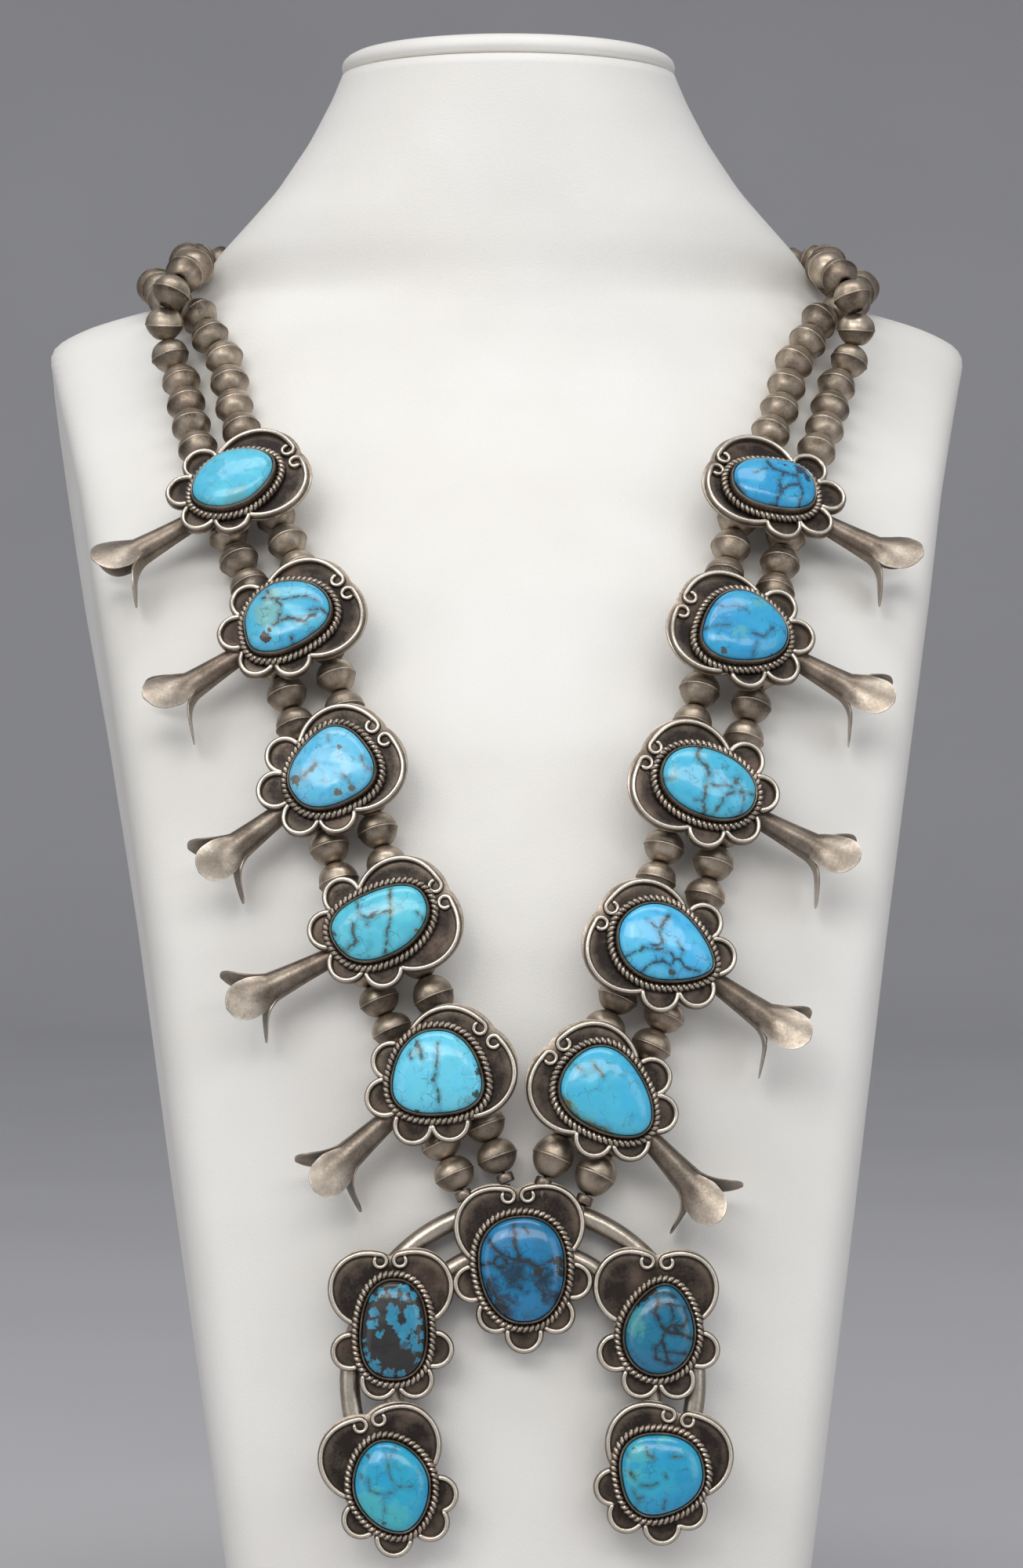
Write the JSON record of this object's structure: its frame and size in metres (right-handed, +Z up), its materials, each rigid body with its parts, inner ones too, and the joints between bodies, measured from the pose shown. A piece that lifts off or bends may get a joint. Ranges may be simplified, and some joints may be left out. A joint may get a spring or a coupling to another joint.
{
  "type": "squash blossom necklace on a neck bust",
  "caption": "Two-strand silver bead necklace with flared blossom settings, turquoise cabochons and a crescent pendant, laid over a plain white padded neck bust.",
  "frame": {"origin": "on the surface that the bust stands on, under the middle of the whole part's box", "axes": "+Z up, -Y the chest side that carries the necklace, +X to the right as seen from the front"},
  "size_m": [0.2288, 0.1932, 0.395],
  "materials": {
    "bust_cover": "satin white leatherette with a fine grain",
    "silver": "worn satin silver, dark and brownish in the recesses",
    "turquoise_sky": "polished sky blue with thin brown veins",
    "turquoise_deep": "polished deeper blue with a soft dark web",
    "turquoise_matrix": "polished blue cells in a black and brown matrix",
    "turquoise_green": "polished light blue turning greenish",
    "thread": "waxed dark thread"
  },
  "bodies": {
    "root": {"bust_body": "bust_cover", "neck_cap": "bust_cover", "naja": "silver", "clasp": "silver", "blossom_l1": "silver", "blossom_l2": "silver", "blossom_l3": "silver", "blossom_l4": "silver", "blossom_l5": "silver", "blossom_r1": "silver", "blossom_r2": "silver", "blossom_r3": "silver", "blossom_r4": "silver", "blossom_r5": "silver", "stone_l1": "turquoise_sky", "stone_l2": "turquoise_deep", "stone_l3": "turquoise_sky", "stone_l4": "turquoise_sky", "stone_l5": "turquoise_sky", "stone_r1": "turquoise_deep", "stone_r2": "turquoise_deep", "stone_r3": "turquoise_sky", "stone_r4": "turquoise_sky", "stone_r5": "turquoise_sky", "naja_stone_top": "turquoise_matrix", "naja_stone_left_upper": "turquoise_matrix", "naja_stone_right_upper": "turquoise_matrix", "naja_stone_left_lower": "turquoise_green", "naja_stone_right_lower": "turquoise_green", "beads_outer_left": "silver", "beads_inner_left": "silver", "beads_outer_right": "silver", "beads_inner_right": "silver", "thread_outer_left": "thread", "thread_inner_left": "thread", "thread_outer_right": "thread", "thread_inner_right": "thread"}
  },
  "joints": []
}
